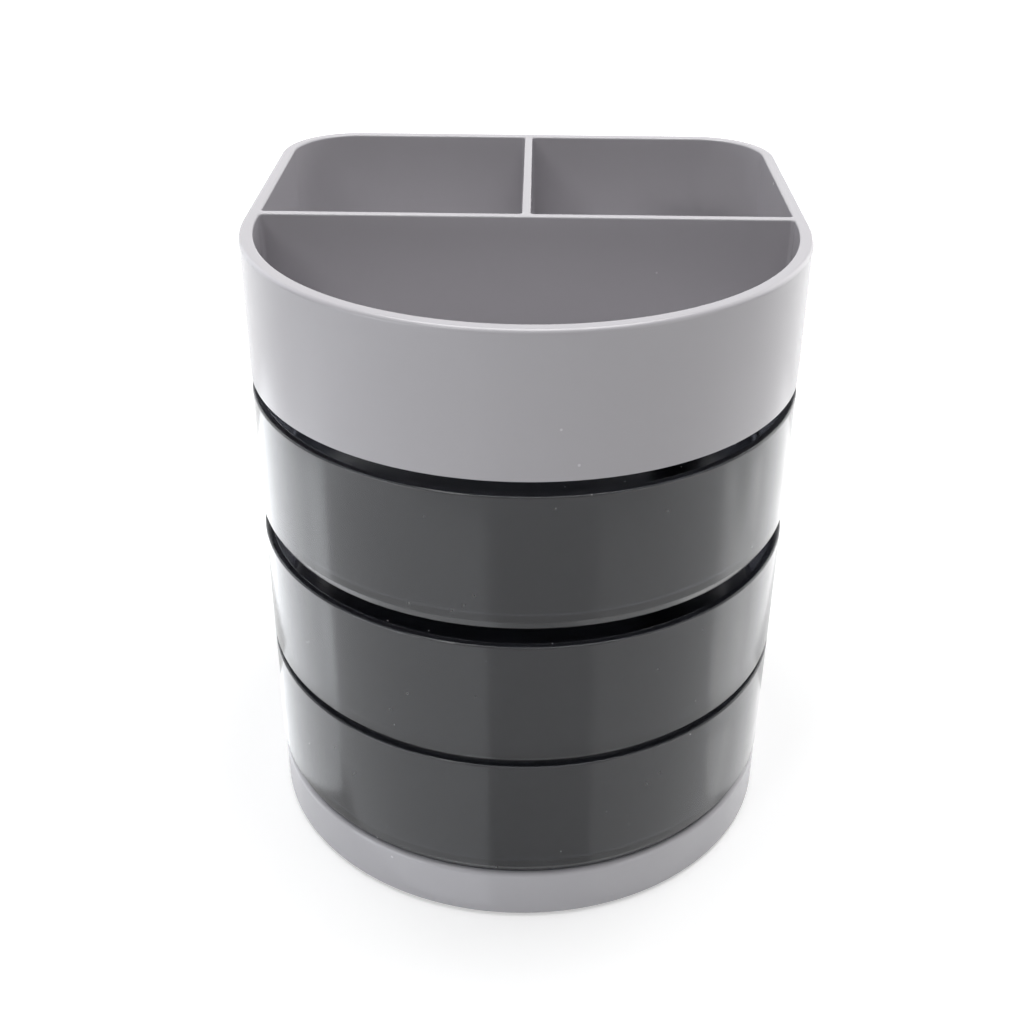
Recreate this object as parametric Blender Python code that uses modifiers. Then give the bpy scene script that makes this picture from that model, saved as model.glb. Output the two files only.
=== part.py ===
"""Desk pen holder with three swing-out trays.

A U-shaped pen cup with three compartments stands on a post in its rear right corner. Three smoked trays
of the same outline turn round that post, over a shallow hollow base. Lengths are metres, +Z is up, the
half-round front faces -Y, and the origin is under the middle of the footprint.
"""
import math

import bmesh
import bpy
from mathutils import Matrix, Vector

# Plan outline, shared by cup, trays and base, measured from the centre of the front arc
FRONT_RADIUS = 0.065
BACK_DEPTH = 0.075
REAR_CORNER_RADIUS = 0.0195

# Pen cup
CUP_HEIGHT = 0.0329
CUP_WALL = 0.0032
CUP_FLOOR = 0.0025
DIVIDER_THICKNESS = 0.0021
CROSS_DIVIDER_SETBACK = 0.0039
COMPARTMENT_CORNER_RADIUS = 0.001
COMPARTMENT_FLOOR_FILLET = 0.0008
CUP_EDGE_ROUND = 0.0005

# Trays, all three alike
TRAY_SIDE_HEIGHT = 0.03015
TRAY_FOOT_HEIGHT = 0.0028
TRAY_FOOT_STEP = 0.0006
TRAY_WALL = 0.002
TRAY_FLOOR = 0.0022
TRAY_FLOOR_FILLET = 0.002
TRAY_EDGE_ROUND = 0.0005
TRAY_WEB_THICKNESS = 0.002
TRAY_WEB_DROP = 0.006

# Base
BASE_HEIGHT = 0.013
BASE_SETBACK = 0.0002
BASE_WALL = 0.0025
BASE_PLATE = 0.0025
BASE_TOP_ROUND = 0.0015
BASE_BOTTOM_ROUND = 0.0005
BASE_INNER_FILLET = 0.001
RIB_THICKNESS = 0.0018
RIB_DEPTH = 0.006
RIB_OFFSET = 0.014
FOOT_BOSS_RADIUS = 0.0075

# Gaps between the storeys, from the base up
LOWER_TRAY_GAP = 0.0003
MIDDLE_TRAY_GAP = 0.0003
UPPER_TRAY_GAP = 0.0043
CUP_GAP = 0.0033

# Post and what holds it
POST_RADIUS = 0.005
POST_CHAMFER = 0.0005
POST_CLEARANCE = 0.0003
KEY_FLAT_DEPTH = 0.001
KEY_LENGTH = 0.004
HUB_RADIUS = 0.008
BOSS_RADIUS = 0.009
BOSS_SETBACK = 0.0004
CUP_SOCKET_DEPTH = 0.005
SOCKET_WEB = 0.002

# Screws, washers, cap and feet
SCREW_RADIUS = 0.002
SCREW_LENGTH = 0.012
SCREW_TIP_CHAMFER = 0.0005
SCREW_HEAD_RADIUS = 0.0036
SCREW_HEAD_HEIGHT = 0.002
SCREW_HEAD_SINK = 0.0005
HEAD_CROWN_RADIUS_SHARE = 0.6
HEAD_SHOULDER_RADIUS_SHARE = 0.9
HEAD_SHOULDER_HEIGHT_SHARE = 0.8
HEAD_SIDE_HEIGHT_SHARE = 0.45
CROSS_SLOT_LENGTH = 0.004
CROSS_SLOT_WIDTH = 0.0009
CROSS_SLOT_DEPTH = 0.0012
TAPPED_HOLE_DEPTH = 0.0105
WASHER_RADIUS = 0.0045
WASHER_THICKNESS = 0.0006
RECESS_CLEARANCE = 0.0004
CAP_THICKNESS = 0.0008
CAP_RADIUS = 0.0082
CAP_EDGE_ROUND = 0.0003
CAP_PLUG_DEPTH = 0.0008
FOOT_RADIUS = 0.0055
FOOT_PROUD = 0.0008
FOOT_INSET_DEPTH = 0.001
FOOT_EDGE_ROUND = 0.0003
FRONT_FOOT_SETBACK = 0.011
REAR_FOOT_SETBACK = 0.0125
REAR_FOOT_POST_DISTANCE = 0.0185

# Fits and fineness
SEAT_GAP = 0.0003
OVERRUN = 0.001
CHORD_TOLERANCE = 0.00005
MERGE_DISTANCE = 0.00001
ROUND_SIDES = 32
FLARE_DEPTH_SHARE = 2.0
SHARP_ANGLE = math.radians(30.0)
FLAT_ANGLE = math.radians(0.5)
WEB_ANGLE = math.radians(45.0)
FRONT_FOOT_ANGLE = math.radians(39.0)
QUARTER_TURN = math.radians(90.0)
HALF_TURN = math.radians(180.0)

# Colours, linear
GREY_PLASTIC = (0.42, 0.41, 0.42, 1.0)
SMOKED_PLASTIC = (0.045, 0.048, 0.055, 1.0)
STEEL = (0.62, 0.62, 0.64, 1.0)
BLACK_RUBBER = (0.02, 0.02, 0.02, 1.0)
DARK_NYLON = (0.05, 0.05, 0.052, 1.0)

# Places worked out from the sizes above
PLAN_CENTRE_Y = (FRONT_RADIUS - BACK_DEPTH) / 2.0
PIVOT_X = FRONT_RADIUS - REAR_CORNER_RADIUS
PIVOT_Y = BACK_DEPTH - REAR_CORNER_RADIUS
TRAY_HEIGHT = TRAY_SIDE_HEIGHT + TRAY_FOOT_HEIGHT
BASE_Z = FOOT_PROUD
LOWER_TRAY_Z = BASE_Z + BASE_HEIGHT + LOWER_TRAY_GAP
MIDDLE_TRAY_Z = LOWER_TRAY_Z + TRAY_HEIGHT + MIDDLE_TRAY_GAP
UPPER_TRAY_Z = MIDDLE_TRAY_Z + TRAY_HEIGHT + UPPER_TRAY_GAP
CUP_Z = UPPER_TRAY_Z + TRAY_HEIGHT + CUP_GAP
BORE_RADIUS = POST_RADIUS + POST_CLEARANCE
SCREW_HOLE_RADIUS = SCREW_RADIUS + SEAT_GAP
RECESS_RADIUS = WASHER_RADIUS + RECESS_CLEARANCE
WASHER_STACK = SEAT_GAP + WASHER_THICKNESS + SEAT_GAP
HEAD_STACK = WASHER_STACK + SCREW_HEAD_HEIGHT
COUNTERBORE_DEPTH = HEAD_STACK + SCREW_HEAD_SINK
CUP_WEB_TOP = CUP_SOCKET_DEPTH + SOCKET_WEB
CUP_BOSS_TOP = CUP_WEB_TOP + HEAD_STACK + SEAT_GAP + CAP_PLUG_DEPTH
BASE_SOCKET_FLOOR = COUNTERBORE_DEPTH + SOCKET_WEB
POST_BOTTOM_Z = BASE_Z + BASE_SOCKET_FLOOR + SEAT_GAP
POST_TOP_Z = CUP_Z + CUP_SOCKET_DEPTH - SEAT_GAP


def make_collection(name):
    group = bpy.data.collections.new(name)
    bpy.context.scene.collection.children.link(group)
    return group


def make_material(name, colour, roughness, metallic=0.0, transmission=0.0):
    material = bpy.data.materials.new(name)
    material.use_nodes = True
    shader = material.node_tree.nodes["Principled BSDF"]
    shader.inputs["Base Color"].default_value = colour
    shader.inputs["Roughness"].default_value = roughness
    shader.inputs["Metallic"].default_value = metallic
    shader.inputs["Transmission Weight"].default_value = transmission
    return material


def quarter_steps(radius):
    """Chords in a quarter circle that stay within the chord tolerance."""
    half_angle = math.acos(max(1.0 - CHORD_TOLERANCE / radius, 0.5))
    return max(2, math.ceil(math.pi / 4.0 / half_angle))


def rounded_outline(x0, x1, y0, y1, front, rear_right, rear_left):
    """Counterclockwise points of a box with one radius in front and one in each rear corner."""
    corners = (
        (x0 + front, y0 + front, front, math.pi),
        (x1 - front, y0 + front, front, math.pi * 1.5),
        (x1 - rear_right, y1 - rear_right, rear_right, 0.0),
        (x0 + rear_left, y1 - rear_left, rear_left, math.pi * 0.5),
    )
    points = []
    for centre_x, centre_y, radius, start in corners:
        steps = quarter_steps(radius)
        for step in range(steps + 1):
            angle = start + math.pi / 2.0 * step / steps
            point = Vector((centre_x + radius * math.cos(angle), centre_y + radius * math.sin(angle), 0.0))
            if not points or (point - points[-1]).length > MERGE_DISTANCE:
                points.append(point)
    return points


def plan_outline(inset):
    """The shared U-shaped outline, drawn in by an inset."""
    reach = FRONT_RADIUS - inset
    corner = REAR_CORNER_RADIUS - inset
    return rounded_outline(-reach, reach, -reach, BACK_DEPTH - inset, reach, corner, corner)


def compartment_outline(place, grow):
    """One cup compartment, grown by a margin on every side."""
    reach = FRONT_RADIUS - CUP_WALL + grow
    rear = BACK_DEPTH - CUP_WALL + grow
    half = DIVIDER_THICKNESS / 2.0 - grow
    corner = COMPARTMENT_CORNER_RADIUS + grow
    rear_corner = REAR_CORNER_RADIUS - CUP_WALL + grow
    if place == "front":
        return rounded_outline(-reach, reach, -reach, CROSS_DIVIDER_SETBACK - half, reach, corner, corner)
    if place == "rear_right":
        return rounded_outline(half, reach, CROSS_DIVIDER_SETBACK + half, rear, corner, rear_corner, corner)
    return rounded_outline(-reach, -half, CROSS_DIVIDER_SETBACK + half, rear, corner, corner, rear_corner)


def keyed_outline(radius, flat):
    """A circle with a flat on its +X side, at a distance from the centre."""
    start = math.acos(flat / radius)
    sweep = 2.0 * (math.pi - start)
    return [
        Vector((radius * math.cos(angle), radius * math.sin(angle), 0.0))
        for angle in (start + sweep * step / ROUND_SIDES for step in range(ROUND_SIDES + 1))
    ]


def rim_edges(mesh, height):
    """The edges of a prism that lie at one height."""
    return [
        edge for edge in mesh.edges
        if all(abs(vertex.co.z - height) < MERGE_DISTANCE for vertex in edge.verts)
    ]


def soften(mesh, height, width, segments):
    if width > 0.0:
        bmesh.ops.bevel(
            mesh, geom=rim_edges(mesh, height), offset=width, offset_type="OFFSET", segments=segments,
            profile=0.5, affect="EDGES", clamp_overlap=True,
        )


def finish_object(name, mesh, group, material):
    mesh.shade_smooth()
    mesh.set_sharp_from_angle(angle=SHARP_ANGLE)
    piece = bpy.data.objects.new(name, mesh)
    group.objects.link(piece)
    if material is not None:
        mesh.materials.append(material)
    else:
        piece.hide_render = True
        piece.display_type = "WIRE"
    return piece


def prism(name, outline, bottom, top, group, material=None, top_round=0.0, bottom_round=0.0, segments=2):
    """A flat outline as a filled 2D curve, extruded, with its end edges rounded."""
    curve = bpy.data.curves.new(name, "CURVE")
    curve.dimensions = "2D"
    curve.fill_mode = "BOTH"
    curve.extrude = (top - bottom) / 2.0
    spline = curve.splines.new("POLY")
    spline.points.add(len(outline) - 1)
    for target, point in zip(spline.points, outline):
        target.co = (point.x, point.y, 0.0, 1.0)
    spline.use_cyclic_u = True
    sketch = bpy.data.objects.new(name + "_sketch", curve)
    group.objects.link(sketch)
    depsgraph = bpy.context.evaluated_depsgraph_get()
    mesh = bpy.data.meshes.new_from_object(sketch.evaluated_get(depsgraph))
    bpy.data.objects.remove(sketch)
    mesh.transform(Matrix.Translation((0.0, 0.0, (top + bottom) / 2.0)))
    edit = bmesh.new()
    edit.from_mesh(mesh)
    bmesh.ops.remove_doubles(edit, verts=edit.verts, dist=MERGE_DISTANCE)
    bmesh.ops.dissolve_limit(edit, angle_limit=FLAT_ANGLE, verts=edit.verts, edges=edit.edges)
    bmesh.ops.recalc_face_normals(edit, faces=edit.faces)
    soften(edit, top, top_round, segments)
    soften(edit, bottom, bottom_round, segments)
    edit.to_mesh(mesh)
    edit.free()
    mesh.name = name
    return finish_object(name, mesh, group, material)


def cylinder(name, radius, bottom, top, group, place=(0.0, 0.0)):
    edit = bmesh.new()
    middle = Matrix.Translation((place[0], place[1], (top + bottom) / 2.0))
    bmesh.ops.create_cone(
        edit, cap_ends=True, segments=ROUND_SIDES, radius1=radius, radius2=radius, depth=top - bottom,
        matrix=middle,
    )
    mesh = bpy.data.meshes.new(name)
    edit.to_mesh(mesh)
    edit.free()
    return finish_object(name, mesh, group, None)


def block(name, size, centre, group, turn=0.0):
    edit = bmesh.new()
    shape = Matrix.Translation(centre) @ Matrix.Rotation(turn, 4, "Z") @ Matrix.Diagonal((*size, 1.0))
    bmesh.ops.create_cube(edit, size=1.0, matrix=shape)
    mesh = bpy.data.meshes.new(name)
    edit.to_mesh(mesh)
    edit.free()
    return finish_object(name, mesh, group, None)


def turned(name, profile, group, material):
    """A profile in radius and height, turned round Z by a Screw modifier."""
    mesh = bpy.data.meshes.new(name)
    edges = [(index, index + 1) for index in range(len(profile) - 1)]
    mesh.from_pydata([(radius, 0.0, height) for radius, height in profile], edges, [])
    piece = finish_object(name, mesh, group, material)
    screw = piece.modifiers.new("turn", "SCREW")
    screw.steps = ROUND_SIDES
    screw.render_steps = ROUND_SIDES
    screw.use_merge_vertices = True
    screw.merge_threshold = MERGE_DISTANCE
    screw.use_smooth_shade = False
    return piece


def ring_profile(inner, outer, bottom, top):
    return [(inner, top), (outer, top), (outer, bottom), (inner, bottom), (inner, top)]


def combine(piece, tool, operation):
    modifier = piece.modifiers.new(tool.name, "BOOLEAN")
    modifier.operation = operation
    modifier.object = tool


def seat(piece, parent, location):
    piece.parent = parent
    piece.location = location


def tray_pattern(tools):
    """The tray's shape: side wall, foot, cavity, hub with its web, and the bore for the post."""
    pivot = (PIVOT_X, PIVOT_Y)
    body = prism(
        "tray_pattern", plan_outline(0.0), TRAY_FOOT_HEIGHT, TRAY_HEIGHT, tools,
        top_round=TRAY_EDGE_ROUND, bottom_round=TRAY_EDGE_ROUND,
    )
    foot = prism("tray_foot", plan_outline(TRAY_FOOT_STEP), 0.0, TRAY_FOOT_HEIGHT + OVERRUN, tools)
    cavity = prism(
        "tray_cavity", plan_outline(TRAY_WALL), TRAY_FLOOR, TRAY_HEIGHT + OVERRUN, tools,
        bottom_round=TRAY_FLOOR_FILLET, segments=3,
    )
    flare_depth = TRAY_EDGE_ROUND * FLARE_DEPTH_SHARE
    flare = prism(
        "tray_rim_flare", plan_outline(TRAY_WALL - TRAY_EDGE_ROUND), TRAY_HEIGHT - flare_depth,
        TRAY_HEIGHT + OVERRUN, tools, bottom_round=flare_depth, segments=1,
    )
    hub = cylinder("tray_hub", HUB_RADIUS, TRAY_FLOOR / 2.0, TRAY_HEIGHT, tools, pivot)
    web_start = (POST_RADIUS + HUB_RADIUS) / 2.0
    web_end = REAR_CORNER_RADIUS - TRAY_WALL / 2.0
    web_middle = (web_start + web_end) / 2.0 * math.cos(WEB_ANGLE)
    web_height = TRAY_HEIGHT - TRAY_WEB_DROP - TRAY_FLOOR / 2.0
    web = block(
        "tray_web", (web_end - web_start, TRAY_WEB_THICKNESS, web_height),
        (PIVOT_X + web_middle, PIVOT_Y + web_middle, TRAY_FLOOR / 2.0 + web_height / 2.0), tools,
        turn=WEB_ANGLE,
    )
    bore = cylinder("tray_bore", BORE_RADIUS, -OVERRUN, TRAY_HEIGHT + OVERRUN, tools, pivot)
    for tool, operation in (
        (foot, "UNION"), (cavity, "DIFFERENCE"), (flare, "DIFFERENCE"), (hub, "UNION"), (web, "UNION"),
        (bore, "DIFFERENCE"),
    ):
        combine(body, tool, operation)
    return body


def make_trays(parts, tools, pivot_axis, smoked):
    pattern = tray_pattern(tools)
    depsgraph = bpy.context.evaluated_depsgraph_get()
    mesh = bpy.data.meshes.new_from_object(pattern.evaluated_get(depsgraph))
    mesh.name = "tray"
    mesh.transform(Matrix.Translation((-PIVOT_X, -PIVOT_Y, 0.0)))
    mesh.materials.clear()
    mesh.materials.append(smoked)
    mesh.shade_smooth()
    mesh.set_sharp_from_angle(angle=SHARP_ANGLE)
    storeys = (("tray_lower", LOWER_TRAY_Z), ("tray_middle", MIDDLE_TRAY_Z), ("tray_upper", UPPER_TRAY_Z))
    for name, height in storeys:
        tray = bpy.data.objects.new(name, mesh)
        parts.objects.link(tray)
        seat(tray, pivot_axis, (0.0, 0.0, height))


def make_pen_cup(parts, tools, plan_centre, grey):
    pivot = (PIVOT_X, PIVOT_Y)
    cup = prism(
        "pen_cup", plan_outline(0.0), 0.0, CUP_HEIGHT, parts, grey,
        top_round=CUP_EDGE_ROUND, bottom_round=CUP_EDGE_ROUND,
    )
    flare_depth = CUP_EDGE_ROUND * FLARE_DEPTH_SHARE
    cuts = []
    for place in ("front", "rear_right", "rear_left"):
        cuts.append(prism(
            "cup_" + place, compartment_outline(place, 0.0), CUP_FLOOR, CUP_HEIGHT + OVERRUN, tools,
            bottom_round=COMPARTMENT_FLOOR_FILLET,
        ))
        cuts.append(prism(
            "cup_flare_" + place, compartment_outline(place, CUP_EDGE_ROUND), CUP_HEIGHT - flare_depth,
            CUP_HEIGHT + OVERRUN, tools, bottom_round=flare_depth, segments=1,
        ))
    boss = cylinder("cup_boss", BOSS_RADIUS, CUP_FLOOR / 2.0, CUP_BOSS_TOP, tools, pivot)
    lead_in = CUP_SOCKET_DEPTH - KEY_LENGTH
    socket = cylinder("cup_socket", BORE_RADIUS, -OVERRUN, lead_in + SEAT_GAP, tools, pivot)
    key_flat = POST_RADIUS - KEY_FLAT_DEPTH + POST_CLEARANCE
    key = prism("cup_key", keyed_outline(BORE_RADIUS, key_flat), lead_in, CUP_SOCKET_DEPTH, tools)
    key.location = (PIVOT_X, PIVOT_Y, 0.0)
    hole = cylinder(
        "cup_screw_hole", SCREW_HOLE_RADIUS, CUP_SOCKET_DEPTH - OVERRUN, CUP_WEB_TOP + OVERRUN, tools, pivot,
    )
    recess = cylinder("cup_recess", RECESS_RADIUS, CUP_WEB_TOP, CUP_BOSS_TOP + OVERRUN, tools, pivot)
    for tool in cuts:
        combine(cup, tool, "DIFFERENCE")
    combine(cup, boss, "UNION")
    for tool in (socket, key, hole, recess):
        combine(cup, tool, "DIFFERENCE")
    for tool in (*cuts, boss, socket, key, hole, recess):
        tool.parent = cup
    seat(cup, plan_centre, (0.0, 0.0, CUP_Z))


def foot_places():
    reach = FRONT_RADIUS - FRONT_FOOT_SETBACK
    front_x = reach * math.cos(FRONT_FOOT_ANGLE)
    front_y = -reach * math.sin(FRONT_FOOT_ANGLE)
    rear_x = PIVOT_X - REAR_FOOT_POST_DISTANCE
    rear_y = BACK_DEPTH - REAR_FOOT_SETBACK
    return {
        "front_left": (-front_x, front_y),
        "front_right": (front_x, front_y),
        "rear_left": (-rear_x, rear_y),
        "rear_right": (rear_x, rear_y),
    }


def base_ribs(tools):
    """Two ribs from front to back and one across, under the base's top plate."""
    plate_underside = BASE_HEIGHT - BASE_PLATE
    rib_top = plate_underside + BASE_PLATE / 2.0
    rib_height = RIB_DEPTH + BASE_PLATE / 2.0
    wall_middle = BASE_SETBACK + BASE_WALL / 2.0
    side_reach = FRONT_RADIUS - wall_middle
    front_reach = math.sqrt(side_reach ** 2 - RIB_OFFSET ** 2)
    rear_reach = BACK_DEPTH - wall_middle
    length = front_reach + rear_reach
    ribs = [
        block(
            "base_rib_" + side, (RIB_THICKNESS, length, rib_height),
            (sign * RIB_OFFSET, (rear_reach - front_reach) / 2.0, rib_top - rib_height / 2.0), tools,
        )
        for side, sign in (("left", -1.0), ("right", 1.0))
    ]
    ribs.append(block(
        "base_rib_across", (2.0 * side_reach, RIB_THICKNESS, rib_height),
        (0.0, RIB_OFFSET, rib_top - rib_height / 2.0), tools,
    ))
    return ribs


def make_base(parts, tools, plan_centre, grey):
    pivot = (PIVOT_X, PIVOT_Y)
    base = prism(
        "base", plan_outline(BASE_SETBACK), 0.0, BASE_HEIGHT, parts, grey,
        top_round=BASE_TOP_ROUND, bottom_round=BASE_BOTTOM_ROUND, segments=3,
    )
    hollow = prism(
        "base_hollow", plan_outline(BASE_SETBACK + BASE_WALL), -OVERRUN, BASE_HEIGHT - BASE_PLATE, tools,
        top_round=BASE_INNER_FILLET,
    )
    inside_plate = BASE_HEIGHT - BASE_PLATE / 2.0
    solids = [cylinder("base_boss", BOSS_RADIUS, BOSS_SETBACK, inside_plate, tools, pivot)]
    recesses = []
    for place, centre in foot_places().items():
        solids.append(cylinder("foot_boss_" + place, FOOT_BOSS_RADIUS, 0.0, inside_plate, tools, centre))
        recesses.append(cylinder(
            "foot_recess_" + place, FOOT_RADIUS + SEAT_GAP, -OVERRUN, FOOT_INSET_DEPTH + SEAT_GAP, tools,
            centre,
        ))
    solids.extend(base_ribs(tools))
    key_top = BASE_SOCKET_FLOOR + KEY_LENGTH
    socket = cylinder("base_socket", BORE_RADIUS, key_top - SEAT_GAP, BASE_HEIGHT + OVERRUN, tools, pivot)
    key_flat = POST_RADIUS - KEY_FLAT_DEPTH + POST_CLEARANCE
    key = prism("base_key", keyed_outline(BORE_RADIUS, key_flat), BASE_SOCKET_FLOOR, key_top, tools)
    key.location = (PIVOT_X, PIVOT_Y, 0.0)
    hole = cylinder(
        "base_screw_hole", SCREW_HOLE_RADIUS, COUNTERBORE_DEPTH - OVERRUN, BASE_SOCKET_FLOOR + OVERRUN,
        tools, pivot,
    )
    counterbore = cylinder("base_counterbore", RECESS_RADIUS, -OVERRUN, COUNTERBORE_DEPTH, tools, pivot)
    combine(base, hollow, "DIFFERENCE")
    for tool in solids:
        combine(base, tool, "UNION")
    holes = (*recesses, socket, key, hole, counterbore)
    for tool in holes:
        combine(base, tool, "DIFFERENCE")
    for tool in (hollow, *solids, *holes):
        tool.parent = base
    seat(base, plan_centre, (0.0, 0.0, BASE_Z))


def make_post(parts, tools, pivot_axis, steel):
    """A steel rod with a key flat and a tapped hole at each end."""
    length = POST_TOP_Z - POST_BOTTOM_Z
    post = turned("pivot_post", [
        (0.0, length), (POST_RADIUS - POST_CHAMFER, length), (POST_RADIUS, length - POST_CHAMFER),
        (POST_RADIUS, POST_CHAMFER), (POST_RADIUS - POST_CHAMFER, 0.0), (0.0, 0.0),
    ], parts, steel)
    flat_length = KEY_LENGTH - SEAT_GAP - SEAT_GAP
    flat_depth = KEY_FLAT_DEPTH + OVERRUN
    flat_x = POST_RADIUS - KEY_FLAT_DEPTH + flat_depth / 2.0
    flat_size = (flat_depth, 2.0 * POST_RADIUS + OVERRUN, flat_length + OVERRUN)
    low_centre = (flat_x, 0.0, (flat_length - OVERRUN) / 2.0)
    high_centre = (flat_x, 0.0, length - (flat_length - OVERRUN) / 2.0)
    cuts = (
        block("post_flat_low", flat_size, low_centre, tools),
        block("post_flat_high", flat_size, high_centre, tools),
        cylinder("post_hole_low", SCREW_HOLE_RADIUS, -OVERRUN, TAPPED_HOLE_DEPTH, tools),
        cylinder("post_hole_high", SCREW_HOLE_RADIUS, length - TAPPED_HOLE_DEPTH, length + OVERRUN, tools),
    )
    for tool in cuts:
        combine(post, tool, "DIFFERENCE")
        tool.parent = post
    seat(post, pivot_axis, (0.0, 0.0, POST_BOTTOM_Z))


def make_spacers(parts, pivot_axis, nylon):
    spaces = (
        ("spacer_middle", MIDDLE_TRAY_Z + TRAY_HEIGHT, UPPER_TRAY_GAP),
        ("spacer_upper", UPPER_TRAY_Z + TRAY_HEIGHT, CUP_GAP),
    )
    for name, start, gap in spaces:
        thickness = gap - SEAT_GAP - SEAT_GAP
        ring = turned(name, ring_profile(BORE_RADIUS, HUB_RADIUS, 0.0, thickness), parts, nylon)
        seat(ring, pivot_axis, (0.0, 0.0, start + SEAT_GAP))


def make_screw(name, parts, tools, steel):
    """A pan-head screw that points down, with its head's underside at the origin."""
    screw = turned(name, [
        (0.0, SCREW_HEAD_HEIGHT), (SCREW_HEAD_RADIUS * HEAD_CROWN_RADIUS_SHARE, SCREW_HEAD_HEIGHT),
        (SCREW_HEAD_RADIUS * HEAD_SHOULDER_RADIUS_SHARE, SCREW_HEAD_HEIGHT * HEAD_SHOULDER_HEIGHT_SHARE),
        (SCREW_HEAD_RADIUS, SCREW_HEAD_HEIGHT * HEAD_SIDE_HEIGHT_SHARE),
        (SCREW_HEAD_RADIUS, 0.0), (SCREW_RADIUS, 0.0), (SCREW_RADIUS, SCREW_TIP_CHAMFER - SCREW_LENGTH),
        (SCREW_RADIUS - SCREW_TIP_CHAMFER, -SCREW_LENGTH), (0.0, -SCREW_LENGTH),
    ], parts, steel)
    slot_height = CROSS_SLOT_DEPTH + OVERRUN
    slot_centre = (0.0, 0.0, SCREW_HEAD_HEIGHT - CROSS_SLOT_DEPTH + slot_height / 2.0)
    slot_size = (CROSS_SLOT_LENGTH, CROSS_SLOT_WIDTH, slot_height)
    for label, turn in (("a", 0.0), ("b", QUARTER_TURN)):
        slot = block(name + "_slot_" + label, slot_size, slot_centre, tools, turn)
        combine(screw, slot, "DIFFERENCE")
        slot.parent = screw
    return screw


def make_fastenings(parts, tools, pivot_axis, steel, grey):
    washer_profile = ring_profile(SCREW_HOLE_RADIUS, WASHER_RADIUS, 0.0, WASHER_THICKNESS)
    cup_washer = turned("cup_screw_washer", washer_profile, parts, steel)
    seat(cup_washer, pivot_axis, (0.0, 0.0, CUP_Z + CUP_WEB_TOP + SEAT_GAP))
    cup_screw = make_screw("cup_screw", parts, tools, steel)
    seat(cup_screw, pivot_axis, (0.0, 0.0, CUP_Z + CUP_WEB_TOP + WASHER_STACK))
    counterbore_top = BASE_Z + COUNTERBORE_DEPTH
    base_washer = turned("base_screw_washer", washer_profile, parts, steel)
    seat(base_washer, pivot_axis, (0.0, 0.0, counterbore_top - SEAT_GAP - WASHER_THICKNESS))
    base_screw = make_screw("base_screw", parts, tools, steel)
    base_screw.rotation_euler = (HALF_TURN, 0.0, 0.0)
    seat(base_screw, pivot_axis, (0.0, 0.0, counterbore_top - WASHER_STACK))
    plug_radius = RECESS_RADIUS - SEAT_GAP
    cap = turned("screw_cap", [
        (0.0, CAP_THICKNESS), (CAP_RADIUS - CAP_EDGE_ROUND, CAP_THICKNESS),
        (CAP_RADIUS, CAP_THICKNESS - CAP_EDGE_ROUND), (CAP_RADIUS, 0.0), (plug_radius, 0.0),
        (plug_radius, -CAP_PLUG_DEPTH), (0.0, -CAP_PLUG_DEPTH),
    ], parts, grey)
    seat(cap, pivot_axis, (0.0, 0.0, CUP_Z + CUP_BOSS_TOP + SEAT_GAP))


def make_feet(parts, plan_centre, rubber):
    height = FOOT_PROUD + FOOT_INSET_DEPTH
    for place, (x, y) in foot_places().items():
        foot = turned("foot_" + place, [
            (0.0, height), (FOOT_RADIUS, height), (FOOT_RADIUS, FOOT_EDGE_ROUND),
            (FOOT_RADIUS - FOOT_EDGE_ROUND, 0.0), (0.0, 0.0),
        ], parts, rubber)
        seat(foot, plan_centre, (x, y, 0.0))


def main():
    for stale in list(bpy.data.objects):
        bpy.data.objects.remove(stale)
    parts = make_collection("pen_holder")
    tools = make_collection("cutters")
    plan_centre = bpy.data.objects.new("plan_centre", None)
    parts.objects.link(plan_centre)
    plan_centre.location = (0.0, PLAN_CENTRE_Y, 0.0)
    pivot_axis = bpy.data.objects.new("pivot_axis", None)
    parts.objects.link(pivot_axis)
    seat(pivot_axis, plan_centre, (PIVOT_X, PIVOT_Y, 0.0))

    grey = make_material("grey_plastic", GREY_PLASTIC, 0.35)
    smoked = make_material("smoked_plastic", SMOKED_PLASTIC, 0.12, transmission=0.6)
    steel = make_material("steel", STEEL, 0.25, metallic=1.0)
    rubber = make_material("black_rubber", BLACK_RUBBER, 0.8)
    nylon = make_material("dark_nylon", DARK_NYLON, 0.5)

    make_pen_cup(parts, tools, plan_centre, grey)
    make_trays(parts, tools, pivot_axis, smoked)
    make_base(parts, tools, plan_centre, grey)
    make_post(parts, tools, pivot_axis, steel)
    make_spacers(parts, pivot_axis, nylon)
    make_fastenings(parts, tools, pivot_axis, steel, grey)
    make_feet(parts, plan_centre, rubber)
    bpy.context.view_layer.update()


main()
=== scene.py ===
"""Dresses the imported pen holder: fine moulded shells, turned hardware, materials, light and camera.

Heights and the feet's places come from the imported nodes. The outline and the other sizes repeat those of the
solids, except small rounds, the screws' threads and recesses, and the slant of the trays' foot.
"""
import math

import bmesh
import bpy
from mathutils import Matrix, Vector


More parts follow.
